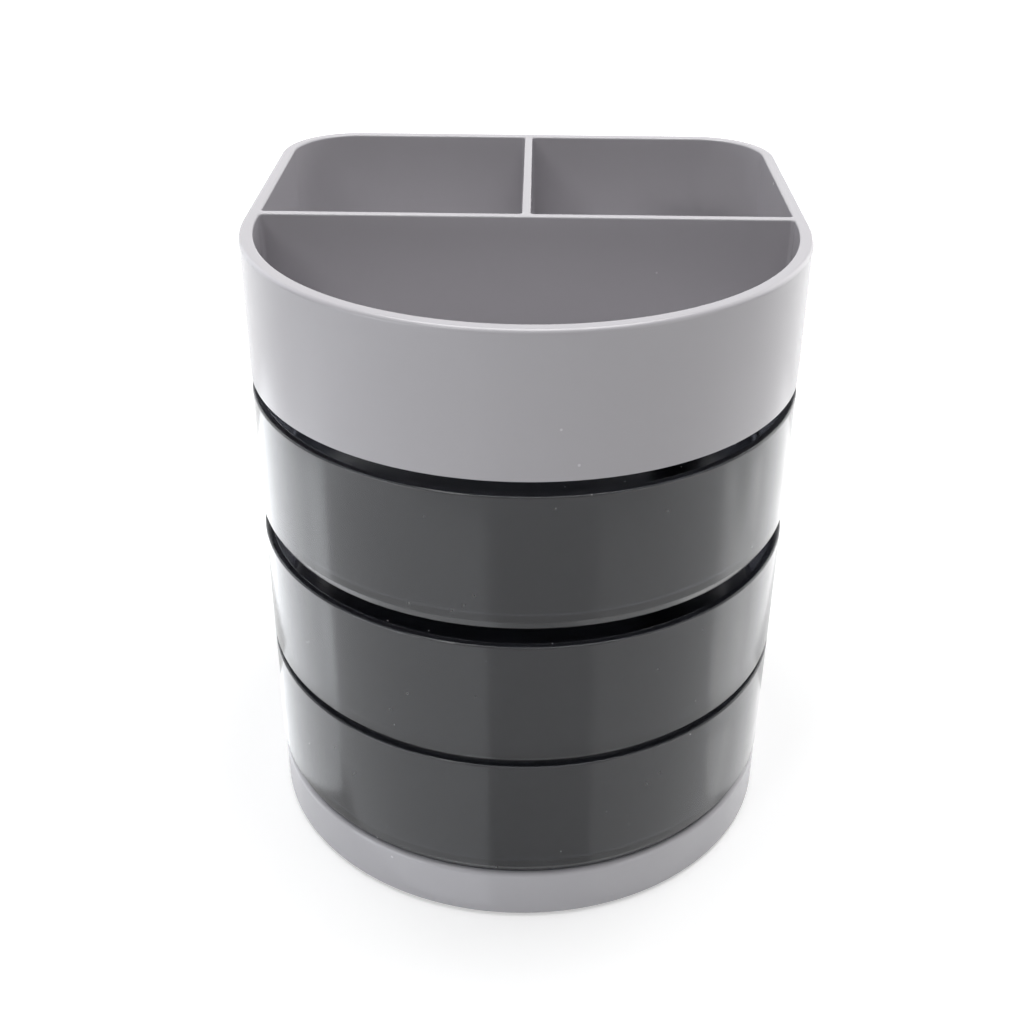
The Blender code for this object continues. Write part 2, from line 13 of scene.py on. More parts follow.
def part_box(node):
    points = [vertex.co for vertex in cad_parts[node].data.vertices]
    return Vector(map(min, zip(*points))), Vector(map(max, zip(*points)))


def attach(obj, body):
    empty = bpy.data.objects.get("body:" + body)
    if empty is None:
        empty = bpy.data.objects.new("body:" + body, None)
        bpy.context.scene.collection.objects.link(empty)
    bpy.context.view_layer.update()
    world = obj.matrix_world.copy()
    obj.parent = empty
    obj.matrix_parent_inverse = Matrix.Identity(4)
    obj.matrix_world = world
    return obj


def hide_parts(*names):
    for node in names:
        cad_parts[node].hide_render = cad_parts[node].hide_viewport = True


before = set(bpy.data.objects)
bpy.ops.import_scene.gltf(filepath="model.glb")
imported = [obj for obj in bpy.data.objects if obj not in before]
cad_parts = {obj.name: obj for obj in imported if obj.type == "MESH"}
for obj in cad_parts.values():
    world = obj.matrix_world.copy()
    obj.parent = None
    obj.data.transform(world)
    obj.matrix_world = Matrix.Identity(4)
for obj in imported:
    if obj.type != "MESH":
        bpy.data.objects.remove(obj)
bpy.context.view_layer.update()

MM = 0.001

# Plan outline about the centre of the front arc, which stands 5 mm in front of the origin
PLAN_Y = -5.0 * MM
FRONT_RADIUS = 65.0 * MM
BACK_DEPTH = 75.0 * MM
REAR_CORNER = 19.5 * MM
PIVOT = (FRONT_RADIUS - REAR_CORNER, BACK_DEPTH - REAR_CORNER)

FRONT_STEPS = 160
CORNER_STEPS = 40
SMALL_CORNER_STEPS = 10
CIRCLE_STEPS = 96
ROUND_STEPS = 6
# Edges that turn by more than this many degrees stay sharp
SHARP_ANGLE = 35.0
HARDWARE_SHARP_ANGLE = 30.0
WELD_DISTANCE = 0.0001 * MM


# Outlines. Their number of points doesn't depend on their size, so that rings can be joined


def arc(centre_x, centre_y, radius, start, end, steps):
    return [
        (
            centre_x + radius * math.cos(start + (end - start) * step / steps),
            centre_y + radius * math.sin(start + (end - start) * step / steps),
        )
        for step in range(steps + 1)
    ]


def plan(inset):
    """The shared U outline, counterclockwise from the front arc's left end."""
    reach = FRONT_RADIUS - inset
    corner = REAR_CORNER - inset
    return (
        arc(0.0, 0.0, reach, math.pi, 2.0 * math.pi, FRONT_STEPS)
        + arc(PIVOT[0], PIVOT[1], corner, 0.0, math.pi / 2.0, CORNER_STEPS)
        + arc(-PIVOT[0], PIVOT[1], corner, math.pi / 2.0, math.pi, CORNER_STEPS)
    )


def boxed(x0, x1, y0, y1, corners):
    """A box outline. corners are (radius, steps) at front left, front right, rear right, rear left."""
    places = ((x0, y0, 1, 1), (x1, y0, -1, 1), (x1, y1, -1, -1), (x0, y1, 1, -1))
    points = []
    for turn, ((x, y, inward_x, inward_y), (radius, steps)) in enumerate(zip(places, corners)):
        start = math.pi + turn * math.pi / 2.0
        centre = (x + inward_x * radius, y + inward_y * radius)
        points += arc(*centre, radius, start, start + math.pi / 2.0, steps)
    return points


def circle(radius, centre=PIVOT, flat=None):
    """A circle of points, cut by a flat on its +X side where one is given."""
    points = []
    for step in range(CIRCLE_STEPS):
        angle = 2.0 * math.pi * step / CIRCLE_STEPS
        reach = radius
        if flat is not None and math.cos(angle) * radius > flat:
            reach = flat / math.cos(angle)
        points.append((centre[0] + reach * math.cos(angle), centre[1] + reach * math.sin(angle)))
    return points


# Mesh building


def ring(mesh, outline, height):
    return [mesh.verts.new((x, y + PLAN_Y, height)) for x, y in outline]


def join(mesh, lower, upper):
    """Quads between two rings."""
    count = len(lower)
    for index in range(count):
        after = (index + 1) % count
        mesh.faces.new((lower[index], lower[after], upper[after], upper[index]))


def join_all(mesh, rings):
    """Joins rings one after another. Returns the first and last ring."""
    for lower, upper in zip(rings, rings[1:]):
        join(mesh, lower, upper)
    return rings[0], rings[-1]


def skin(mesh, shape, stations):
    """A wall of rings at (inset, height) stations. Returns its first and last ring."""
    return join_all(mesh, [ring(mesh, shape(inset), height) for inset, height in stations])


def turned(mesh, profile, centre=PIVOT):
    """A round wall through (radius, height) rows, where a third value cuts the ring by a flat.
    Returns its first and last ring."""
    rings = [ring(mesh, circle(radius, centre, *flat), height) for radius, height, *flat in profile]
    return join_all(mesh, rings)


def fill(mesh, *loops):
    """Flat faces between an outer loop and any holes."""
    edges = []
    for loop in loops:
        for index, vertex in enumerate(loop):
            edges.append(mesh.edges.get((vertex, loop[(index + 1) % len(loop)])))
    bmesh.ops.triangle_fill(mesh, use_beauty=True, use_dissolve=False, edges=edges)


def quarter(inset, height, across, up, steps=ROUND_STEPS, start_vertical=True):
    """Stations of a quarter round from (inset, height), moving across and up by signed amounts."""
    stations = []
    for step in range(steps + 1):
        angle = math.pi / 2.0 * step / steps
        if start_vertical:
            stations.append((inset + across * (1.0 - math.cos(angle)), height + up * math.sin(angle)))
        else:
            stations.append((inset + across * math.sin(angle), height + up * (1.0 - math.cos(angle))))
    return stations


def link(name, data):
    """A new object of the scene that holds data."""
    thing = bpy.data.objects.new(name, data)
    bpy.context.scene.collection.objects.link(thing)
    return thing


def to_object(mesh, name):
    """Turns a bmesh into an object of the scene."""
    data = bpy.data.meshes.new(name)
    mesh.to_mesh(data)
    mesh.free()
    return link(name, data)


def smooth(data, angle):
    """Smooth shading that breaks at edges sharper than angle, in degrees."""
    data.shade_smooth()
    data.set_sharp_from_angle(angle=math.radians(angle))


def finish_mesh(mesh, name, material, angle=SHARP_ANGLE):
    bmesh.ops.remove_doubles(mesh, verts=mesh.verts, dist=WELD_DISTANCE)
    bmesh.ops.recalc_face_normals(mesh, faces=mesh.faces)
    piece = to_object(mesh, name)
    piece.data.materials.append(material)
    smooth(piece.data, angle)
    return piece


def tool_box(name, size, centre, turn=0.0):
    """A box about centre, turned round its upright axis, that a Boolean adds or cuts away."""
    mesh = bmesh.new()
    place = Matrix.Translation((centre[0], centre[1] + PLAN_Y, centre[2]))
    shape = place @ Matrix.Rotation(turn, 4, "Z") @ Matrix.Diagonal((*size, 1.0))
    bmesh.ops.create_cube(mesh, size=1.0, matrix=shape)
    return to_object(mesh, name)


def booleans(piece, tools, operation, angle=SHARP_ANGLE):
    """Applies exact Booleans and drops the tools."""
    for tool in tools:
        modifier = piece.modifiers.new(tool.name, "BOOLEAN")
        modifier.operation = operation
        modifier.solver = "EXACT"
        modifier.object = tool
    bpy.context.view_layer.update()
    depsgraph = bpy.context.evaluated_depsgraph_get()
    data = bpy.data.meshes.new_from_object(piece.evaluated_get(depsgraph))
    piece.modifiers.clear()
    old = piece.data
    piece.data = data
    bpy.data.meshes.remove(old)
    data.name = piece.name
    smooth(data, angle)
    for tool in tools:
        bpy.data.objects.remove(tool)


def even_normals(piece):
    """Keeps broad faces flat where they meet small rounds."""
    modifier = piece.modifiers.new("even_normals", "WEIGHTED_NORMAL")
    modifier.mode = "FACE_AREA"
    modifier.weight = 50
    modifier.keep_sharp = True


def lathe(name, profile, material, centre, base_height, flip=False, angle=SHARP_ANGLE):
    """A closed turned piece. A profile that starts and ends on the axis is solid, otherwise it is a ring."""
    mesh = bmesh.new()
    sign = -1.0 if flip else 1.0
    solid = profile[0][0] == 0.0
    rows = profile[1:-1] if solid else profile
    first, last = turned(mesh, [(radius, base_height + sign * height) for radius, height in rows], centre)
    if solid:
        mesh.faces.new(first)
        mesh.faces.new(last)
    else:
        join(mesh, last, first)
    return finish_mesh(mesh, name, material, angle)


# Materials


# Places of a Mix node's colour sockets, whose names repeat
MIX_FIRST = 6
MIX_SECOND = 7
MIX_RESULT = 2


class Nodes:
    """Short calls for building a node tree."""

    def __init__(self, tree):
        self.tree = tree

    def add(self, kind, settings=None, **inputs):
        """A new node. Its inputs are given by socket name, with _ for a space."""
        node = self.tree.nodes.new(kind)
        for key, value in (settings or {}).items():
            setattr(node, key, value)
        for key, value in inputs.items():
            self.set(node.inputs[key.replace("_", " ")], value)
        return node

    def set(self, socket, value):
        """Links an output into a socket, or sets the socket's own value."""
        if isinstance(value, bpy.types.NodeSocket):
            self.tree.links.new(value, socket)
        else:
            socket.default_value = value

    def spread(self, value, source, target, interpolation="LINEAR"):
        """Maps the range source of a value to the range target."""
        return self.add(
            "ShaderNodeMapRange", {"interpolation_type": interpolation}, Value=value,
            From_Min=source[0], From_Max=source[1], To_Min=target[0], To_Max=target[1],
        ).outputs["Result"]

    def math(self, operation, first, second):
        node = self.add("ShaderNodeMath", {"operation": operation})
        self.set(node.inputs[0], first)
        self.set(node.inputs[1], second)
        return node.outputs[0]

    def mix(self, factor, first, second):
        node = self.add("ShaderNodeMix", {"data_type": "RGBA"})
        self.set(node.inputs[0], factor)
        self.set(node.inputs[MIX_FIRST], first)
        self.set(node.inputs[MIX_SECOND], second)
        return node.outputs[MIX_RESULT]

    def seen_by_rays(self):
        """1 for camera, glossy and transmission rays, which all show the pale surroundings."""
        path = self.add("ShaderNodeLightPath")
        total = path.outputs["Is Camera Ray"]
        for name in ("Is Glossy Ray", "Is Transmission Ray"):
            total = self.math("MAXIMUM", total, path.outputs[name])
        return total


class Surface(Nodes):
    """A material of one Principled shader, with short calls for its patterns."""

    def __init__(self, name):
        self.material = bpy.data.materials.new(name)
        self.material.use_nodes = True
        super().__init__(self.material.node_tree)
        self.shader = self.tree.nodes["Principled BSDF"]

    def paint(self, **inputs):
        """Sets or links the shader's own sockets, with _ for a space."""
        for key, value in inputs.items():
            self.set(self.shader.inputs[key.replace("_", " ")], value)

    def scaled(self, scale=(1.0, 1.0, 1.0)):
        """Object coordinates, multiplied by scale along each axis."""
        place = self.add("ShaderNodeTexCoord").outputs["Object"]
        return self.add("ShaderNodeMapping", Vector=place, Scale=scale).outputs["Vector"]

    def noise(self, vector, scale, detail=3.0, roughness=0.5):
        return self.add(
            "ShaderNodeTexNoise", Vector=vector, Scale=scale, Detail=detail, Roughness=roughness
        ).outputs["Fac"]

    def specks(self, vector, scale, size, share, soft_edge=0.25):
        """1 on scattered small dots. share is how many cells keep theirs."""
        cells = self.add("ShaderNodeTexVoronoi", {"feature": "F1"}, Vector=vector, Scale=scale)
        near = self.spread(cells.outputs["Distance"], (size * (1.0 - soft_edge), size), (1.0, 0.0))
        split = self.add("ShaderNodeSeparateColor", Color=cells.outputs["Color"])
        keep = self.math("LESS_THAN", split.outputs[0], share)
        return self.math("MULTIPLY", near, keep)

    def bump(self, height, strength, distance):
        self.paint(Normal=self.add(
            "ShaderNodeBump", Strength=strength, Distance=distance, Height=height
        ).outputs["Normal"])


MOTTLING = {"scale": 16.0, "detail": 1.0, "roughness": 0.4}
DUST_COVER = 0.3
DUST_DULLING = 0.2
GREY_DUST = (0.80, 0.80, 0.81, 1.0)
SMOKE_DARK = (0.080, 0.084, 0.102, 1.0)
SMOKE_LIGHT = (0.112, 0.117, 0.138, 1.0)
SMOKE_DUST = (0.9, 0.9, 0.92, 1.0)
SMOKE_DUST_DULLING = 0.6
STEEL_DARK = (0.56, 0.56, 0.58, 1.0)
STEEL_LIGHT = (0.68, 0.68, 0.70, 1.0)
# The part of a noise's range where most of its values lie
GRAIN_RANGE = (0.3, 0.7)


def grey_plastic(name, dark, light):
    """Light grey moulded plastic: faint flow mottling, orange peel and a few dust specks."""
    nodes = Surface(name)
    vector = nodes.scaled()
    cloud = nodes.noise(vector, **MOTTLING)
    dust = nodes.specks(vector, scale=260.0, size=0.10, share=0.035)
    cover = nodes.math("MULTIPLY", dust, DUST_COVER)
    rough = nodes.spread(cloud, (0.0, 1.0), (0.20, 0.28))
    nodes.paint(
        Base_Color=nodes.mix(cover, nodes.mix(cloud, dark, light), GREY_DUST),
        Roughness=nodes.math("ADD", rough, nodes.math("MULTIPLY", dust, DUST_DULLING)),
        IOR=1.5,
    )
    grain = nodes.noise(vector, scale=2600.0, detail=2.0, roughness=0.6)
    nodes.bump(grain, strength=0.05, distance=0.02 * MM)
    return nodes.material


def smoked_plastic():
    """Clear smoked plastic: a dark tint, slightly uneven gloss, and dust that catches the light."""
    nodes = Surface("smoked_clear_plastic")
    vector = nodes.scaled()
    cloud = nodes.noise(vector, **MOTTLING)
    dust = nodes.specks(vector, scale=200.0, size=0.05, share=0.18)
    fine = nodes.specks(nodes.scaled((1.0, 1.0, 0.45)), scale=420.0, size=0.06, share=0.07)
    marks = nodes.math("MAXIMUM", dust, fine)
    smear = nodes.noise(nodes.scaled((1.0, 1.0, 3.0)), scale=60.0, detail=5.0, roughness=0.6)
    rough = nodes.spread(smear, (0.2, 0.8), (0.12, 0.19))
    nodes.paint(
        Base_Color=nodes.mix(marks, nodes.mix(cloud, SMOKE_DARK, SMOKE_LIGHT), SMOKE_DUST),
        Roughness=nodes.math("ADD", rough, nodes.math("MULTIPLY", marks, SMOKE_DUST_DULLING)),
        IOR=1.47,
        Transmission_Weight=0.9,
    )
    waves = nodes.noise(vector, scale=90.0, detail=2.0, roughness=0.5)
    nodes.bump(waves, strength=0.06, distance=0.05 * MM)
    return nodes.material


def steel():
    """Turned steel with fine rings round the axis."""
    nodes = Surface("turned_steel")
    rings = nodes.noise(nodes.scaled((30.0, 30.0, 5200.0)), scale=1.0, detail=2.0, roughness=0.5)
    nodes.paint(
        Base_Color=nodes.mix(rings, STEEL_DARK, STEEL_LIGHT),
        Metallic=1.0,
        Roughness=nodes.spread(rings, GRAIN_RANGE, (0.2, 0.34)),
    )
    nodes.bump(rings, strength=0.12, distance=0.01 * MM)
    return nodes.material


def grained(name, tones, tone_scale, grain, rough, strength, distance):
    """A matt moulded surface whose grain sets its roughness and its relief."""
    nodes = Surface(name)
    vector = nodes.scaled()
    pebbles = nodes.noise(vector, **grain)
    nodes.paint(
        Base_Color=nodes.mix(nodes.noise(vector, tone_scale), *tones),
        Roughness=nodes.spread(pebbles, GRAIN_RANGE, rough),
    )
    nodes.bump(pebbles, strength, distance)
    return nodes.material


def rubber():
    """Matt black rubber with a pebbled skin."""
    return grained(
        "black_rubber", tones=((0.016, 0.016, 0.017, 1.0), (0.032, 0.032, 0.034, 1.0)), tone_scale=160.0,
        grain={"scale": 1500.0, "roughness": 0.6}, rough=(0.68, 0.86), strength=0.3, distance=0.05 * MM,
    )


def nylon():
    """Dark moulded nylon, slightly waxy."""
    return grained(
        "dark_nylon", tones=((0.042, 0.042, 0.045, 1.0), (0.060, 0.060, 0.063, 1.0)), tone_scale=120.0,
        grain={"scale": 900.0, "roughness": 0.55}, rough=(0.42, 0.55), strength=0.1, distance=0.03 * MM,
    )


# The base is the same plastic as the cup in a slightly lighter copy: the extra lightness is painted bounce
# light from the white floor
GREY = grey_plastic("light_grey_plastic", (0.402, 0.389, 0.412, 1.0), (0.432, 0.420, 0.441, 1.0))
BASE_GREY_WITH_PAINTED_BOUNCE_LIGHT = grey_plastic("light_grey_plastic_with_painted_bounce_light", (0.472, 0.464, 0.490, 1.0), (0.502, 0.494, 0.520, 1.0))
SMOKED = smoked_plastic()
STEEL = steel()
RUBBER = rubber()
NYLON = nylon()


# Pen cup

CUP_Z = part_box("pen_cup")[0].z
CUP_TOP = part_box("pen_cup")[1].z
CUP_WALL = 3.2 * MM
CUP_FLOOR = 2.5 * MM
DIVIDER_HALF = 1.05 * MM
CROSS_Y = 3.9 * MM
WELL_CORNER = 1.0 * MM
SMALLEST_CORNER = 0.1 * MM
EDGE = 0.5 * MM
RIM_ROUND = 1.0 * MM
RIM_STEPS = 10
WELL_FILLET = 0.8 * MM
SOCKET_RADIUS = 5.3 * MM
SOCKET_CHAMFER = 0.3 * MM
KEY_FLAT = 4.3 * MM
CUP_SOCKET_DEPTH = 5.0 * MM
CUP_KEY_LENGTH = 4.0 * MM
SCREW_HOLE = 2.3 * MM
SOCKET_WEB = 2.0 * MM
RECESS_RADIUS = 4.9 * MM
BOSS_RADIUS = 9.0 * MM
CUP_BOSS_TOP = 11.3 * MM


def well(place):
    """A compartment's outline as a function of how far it is drawn in from its wall."""
    def shape(inset):
        reach = FRONT_RADIUS - CUP_WALL - inset
        rear = BACK_DEPTH - CUP_WALL - inset
        small = (max(WELL_CORNER - inset, SMALLEST_CORNER), SMALL_CORNER_STEPS)
        large = (REAR_CORNER - CUP_WALL - inset, CORNER_STEPS)
        near = CROSS_Y + DIVIDER_HALF + inset
        side = DIVIDER_HALF + inset
        if place == "front":
            far = CROSS_Y - DIVIDER_HALF - inset
            corner = small[0]
            return (
                arc(0.0, 0.0, reach, math.pi, 2.0 * math.pi, FRONT_STEPS)
                + arc(reach - corner, far - corner, corner, 0.0, math.pi / 2.0, SMALL_CORNER_STEPS)
                + arc(corner - reach, far - corner, corner, math.pi / 2.0, math.pi, SMALL_CORNER_STEPS)
            )
        if place == "right":
            return boxed(side, reach, near, rear, (small, small, large, small))
        return boxed(-reach, -side, near, rear, (small, small, small, large))
    return shape


def cup_boss_profile(floor):
    """From the keyed socket below, through screw hole and cap recess, down the boss to the floor."""
    web = CUP_Z + CUP_SOCKET_DEPTH
    lead = web - CUP_KEY_LENGTH
    web_top = web + SOCKET_WEB
    boss_top = CUP_Z + CUP_BOSS_TOP
    shoulder = quarter(EDGE, boss_top, -EDGE, -EDGE, start_vertical=False)
    foot = quarter(0.0, floor + WELL_FILLET, WELL_FILLET, -WELL_FILLET)
    return [
        (SOCKET_RADIUS + SOCKET_CHAMFER, CUP_Z),
        (SOCKET_RADIUS, CUP_Z + SOCKET_CHAMFER),
        (SOCKET_RADIUS, lead),
        (SOCKET_RADIUS, lead + SOCKET_CHAMFER, KEY_FLAT),
        (SOCKET_RADIUS, web, KEY_FLAT),
        (SCREW_HOLE, web),
        (SCREW_HOLE, web_top),
        (RECESS_RADIUS, web_top),
        (RECESS_RADIUS, boss_top - SOCKET_CHAMFER),
        (RECESS_RADIUS + SOCKET_CHAMFER, boss_top),
        *((BOSS_RADIUS - inset, height) for inset, height in shoulder),
        *((BOSS_RADIUS + grow, height) for grow, height in foot),
    ]


def make_cup():
    mesh = bmesh.new()
    stations = quarter(EDGE, CUP_Z, -EDGE, EDGE, start_vertical=False)
    stations += quarter(0.0, CUP_TOP - RIM_ROUND, RIM_ROUND, RIM_ROUND, RIM_STEPS)
    bottom, top = skin(mesh, plan, stations)
    floor = CUP_Z + CUP_FLOOR
    rims = []
    floors = {}
    for place in ("front", "right", "left"):
        stations = quarter(0.0, floor + WELL_FILLET, WELL_FILLET, -WELL_FILLET)[::-1]
        stations += quarter(0.0, CUP_TOP - EDGE, -EDGE, EDGE)
        floors[place], rim = skin(mesh, well(place), stations)
        rims.append(rim)
    fill(mesh, top, *rims)
    fill(mesh, floors["front"])
    fill(mesh, floors["left"])
    socket, boss = turned(mesh, cup_boss_profile(floor))
    fill(mesh, bottom, socket)
    fill(mesh, floors["right"], boss)
    cup = finish_mesh(mesh, "cup_shell", GREY)
    even_normals(cup)
    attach(cup, "stand")
    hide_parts("pen_cup")


# Trays

TRAY_WALL = 2.0 * MM
TRAY_FLOOR = 2.2 * MM
# The foot slants in below the wall, and shows as a dark band between two trays
TRAY_FOOT_STEP = 0.95 * MM
TRAY_FOOT_HEIGHT = 2.0 * MM
TRAY_FOOT_ROUND = 0.3 * MM
TRAY_WALL_ROUND = 0.4 * MM
TRAY_HEIGHT = 32.95 * MM
TRAY_FILLET = 2.0 * MM
TRAY_FILLET_STEPS = 8
TRAY_FOOT_STEPS = 4
HUB_RADIUS = 8.0 * MM
HUB_FILLET = 1.0 * MM
WEB_THICKNESS = 2.0 * MM
WEB_DROP = 6.0 * MM
WEB_START = 6.5 * MM


def hub_profile():
    """From the tray's floor up the hub, over its top and down its bore."""
    foot = quarter(0.0, TRAY_FLOOR + HUB_FILLET, HUB_FILLET, -HUB_FILLET)[::-1]
    shoulder = quarter(0.0, TRAY_HEIGHT - EDGE, EDGE, EDGE)
    return [
        *((HUB_RADIUS + grow, height) for grow, height in foot),
        *((HUB_RADIUS - inset, height) for inset, height in shoulder),
        (SOCKET_RADIUS + SOCKET_CHAMFER, TRAY_HEIGHT),
        (SOCKET_RADIUS, TRAY_HEIGHT - SOCKET_CHAMFER),
        (SOCKET_RADIUS, SOCKET_CHAMFER),
        (SOCKET_RADIUS + SOCKET_CHAMFER, 0.0),
    ]


def make_tray():
    """One tray with its underside at height zero."""
    mesh = bmesh.new()
    stations = quarter(
        TRAY_FOOT_STEP + TRAY_FOOT_ROUND, 0.0, -TRAY_FOOT_ROUND, TRAY_FOOT_ROUND,
        TRAY_FOOT_STEPS, start_vertical=False,
    )
    stations += quarter(
        TRAY_WALL_ROUND, TRAY_FOOT_HEIGHT, -TRAY_WALL_ROUND, TRAY_WALL_ROUND, start_vertical=False
    )
    stations += quarter(0.0, TRAY_HEIGHT - EDGE, EDGE, EDGE)
    stations += quarter(TRAY_WALL - EDGE, TRAY_HEIGHT, EDGE, -EDGE, start_vertical=False)
    stations += quarter(TRAY_WALL, TRAY_FLOOR + TRAY_FILLET, TRAY_FILLET, -TRAY_FILLET, TRAY_FILLET_STEPS)
    bottom, floor = skin(mesh, plan, stations)
    hub, bore = turned(mesh, hub_profile())
    fill(mesh, floor, hub)
    fill(mesh, bottom, bore)
    tray = finish_mesh(mesh, "tray_shell", SMOKED)
    booleans(tray, [tray_web()], "UNION")
    return tray


def tray_web():
    """The upright web from the hub to the middle of the corner's wall."""
    end = REAR_CORNER - TRAY_WALL / 2.0
    turn = math.pi / 4.0
    middle = (WEB_START + end) / 2.0 * math.cos(turn)
    low = TRAY_FLOOR / 2.0
    height = TRAY_HEIGHT - WEB_DROP - low
    size = (end - WEB_START, WEB_THICKNESS, height)
    return tool_box("tray_web", size, (PIVOT[0] + middle, PIVOT[1] + middle, low + height / 2.0), turn)


def make_trays():
    pattern = make_tray()
    for place in ("upper", "middle", "lower"):
        node = "tray_" + place
        data = pattern.data.copy()
        data.transform(Matrix.Translation((0.0, 0.0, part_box(node)[0].z)))
        tray = link(node + "_shell", data)
        even_normals(tray)
        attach(tray, place + "_tray")
        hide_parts(node)
    bpy.data.objects.remove(pattern)


# Base

BASE_SETBACK = 0.2 * MM
BASE_WALL = 2.5 * MM
BASE_PLATE = 2.5 * MM
BASE_TOP_ROUND = 1.5 * MM
BASE_TOP_STEPS = 12
BASE_BOTTOM_ROUND = 0.5 * MM
BASE_INNER_FILLET = 1.0 * MM
BASE_BOSS_SETBACK = 0.4 * MM
COUNTERBORE_DEPTH = 3.7 * MM
BASE_KEY_TOP = 9.7 * MM
RIB_THICKNESS = 1.8 * MM
RIB_DEPTH = 6.0 * MM
RIB_OFFSET = 14.0 * MM
FOOT_BOSS = 7.5 * MM
FOOT_RECESS_RADIUS = 5.8 * MM
FOOT_RECESS_DEPTH = 1.3 * MM


def foot_centre(node):
    """The middle of a packed foot, about the centre of the front arc."""
    low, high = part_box(node)
    return ((low.x + high.x) / 2.0, (low.y + high.y) / 2.0 - PLAN_Y)


FOOT_PLACES = ("front_left", "front_right", "rear_left", "rear_right")
FEET = {place: foot_centre("foot_" + place) for place in FOOT_PLACES}


def base_boss_profile(low, high, ceiling):
    """From the keyed socket above, through screw hole and counterbore, up the boss to the ceiling."""
    counterbore = low + COUNTERBORE_DEPTH
    key_floor = counterbore + SOCKET_WEB
    key_top = low + BASE_KEY_TOP
    mouth = low + BASE_BOSS_SETBACK
    return [
        (SOCKET_RADIUS + SOCKET_CHAMFER, high),
        (SOCKET_RADIUS, high - SOCKET_CHAMFER),
        (SOCKET_RADIUS, key_top),
        (SOCKET_RADIUS, key_top - SOCKET_CHAMFER, KEY_FLAT),
        (SOCKET_RADIUS, key_floor, KEY_FLAT),
        (SCREW_HOLE, key_floor),
        (SCREW_HOLE, counterbore),
        (RECESS_RADIUS, counterbore),
        (RECESS_RADIUS, mouth + SOCKET_CHAMFER),
        (RECESS_RADIUS + SOCKET_CHAMFER, mouth),
        (BOSS_RADIUS - SOCKET_CHAMFER, mouth),
        (BOSS_RADIUS, mouth + SOCKET_CHAMFER),
        (BOSS_RADIUS, ceiling),
    ]


def foot_boss_profile(low, ceiling):
    """From a foot's recess, round the boss's mouth and up to the ceiling."""
    return [
        (FOOT_RECESS_RADIUS, low + FOOT_RECESS_DEPTH),
        (FOOT_RECESS_RADIUS, low + SOCKET_CHAMFER),
        (FOOT_RECESS_RADIUS + SOCKET_CHAMFER, low),
        (FOOT_BOSS - SOCKET_CHAMFER, low),
        (FOOT_BOSS, low + SOCKET_CHAMFER),
        (FOOT_BOSS, ceiling),
    ]


def make_base():
    mesh = bmesh.new()
    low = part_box("base")[0].z
    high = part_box("base")[1].z
    ceiling = high - BASE_PLATE
    inner = BASE_SETBACK + BASE_WALL
    stations = quarter(
        BASE_SETBACK + BASE_BOTTOM_ROUND, low, -BASE_BOTTOM_ROUND, BASE_BOTTOM_ROUND, start_vertical=False
    )
    stations += quarter(BASE_SETBACK, high - BASE_TOP_ROUND, BASE_TOP_ROUND, BASE_TOP_ROUND, BASE_TOP_STEPS)
    bottom, top = skin(mesh, plan, stations)
    fillet = quarter(inner, ceiling - BASE_INNER_FILLET, BASE_INNER_FILLET, BASE_INNER_FILLET)
    mouth, roof = skin(mesh, plan, [(inner, low)] + fillet)
    fill(mesh, bottom, mouth)
    socket, boss = turned(mesh, base_boss_profile(low, high, ceiling))
    fill(mesh, top, socket)
    holes = [boss]
    for centre in FEET.values():
        recess, foot_boss = turned(mesh, foot_boss_profile(low, ceiling), centre)
        mesh.faces.new(recess)
        holes.append(foot_boss)
    fill(mesh, roof, *holes)
    # The base takes the lighter copy of the grey plastic, whose extra lightness is painted bounce light from
    # the floor
    base = finish_mesh(mesh, "base_shell", BASE_GREY_WITH_PAINTED_BOUNCE_LIGHT)
    booleans(base, base_ribs(ceiling), "UNION")
    even_normals(base)
    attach(base, "stand")
    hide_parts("base")


def base_ribs(ceiling):
    """Two ribs from front to rear and one across, sunk into the plate above and the walls around."""
    middle = ceiling - RIB_DEPTH / 2.0 + BASE_PLATE / 4.0
    tall = RIB_DEPTH + BASE_PLATE / 2.0
    wall = BASE_SETBACK + BASE_WALL / 2.0
    side = FRONT_RADIUS - wall
    front = math.sqrt(side ** 2 - RIB_OFFSET ** 2)
    rear = BACK_DEPTH - wall
    long_rib = (RIB_THICKNESS, front + rear, tall)
    return [
        tool_box("rib_left", long_rib, (-RIB_OFFSET, (rear - front) / 2.0, middle)),
        tool_box("rib_right", long_rib, (RIB_OFFSET, (rear - front) / 2.0, middle)),
        tool_box("rib_across", (2.0 * side, RIB_THICKNESS, tall), (0.0, RIB_OFFSET, middle)),
    ]


# Post, spacers, fastenings and feet

POST_RADIUS = 5.0 * MM
POST_CHAMFER = 0.5 * MM
POST_HOLE_DEPTH = 10.5 * MM
POST_HOLE_LEAD = 0.2 * MM
POST_FLAT_DEPTH = 1.0 * MM
POST_FLAT_LENGTH = 3.4 * MM
FLAT_CUTTER = 2.0 * MM

SPACER_ROUND = 0.3 * MM
WASHER_RADIUS = 4.5 * MM
WASHER_ROUND = 0.1 * MM
CORNER_SHARE = 0.3

HEAD_RADIUS = 3.6 * MM
HEAD_HEIGHT = 2.0 * MM
HEAD_CHAMFER = 0.12 * MM
# Shares of the head: how far its flat top reaches out, and how high its side stands
HEAD_FLAT = 0.45
HEAD_SIDE = 0.4
HEAD_STEPS = 8
SHANK_RADIUS = 2.0 * MM
SHANK_LENGTH = 12.0 * MM
SHANK_TIP = 1.5 * MM
THREAD_ROOT = 1.62 * MM
THREAD_PITCH = 0.7 * MM
THREAD_TOP = 1.2 * MM
THREAD_LENGTH = 10.2 * MM
TWIST_TOP = 1.4 * MM
TWIST_BOTTOM = SHANK_LENGTH - 0.9 * MM
CROSS_LENGTH = 4.0 * MM
CROSS_WIDTH = 0.9 * MM
CROSS_HEIGHT = 2.8 * MM
CROSS_RISE = 0.2 * MM

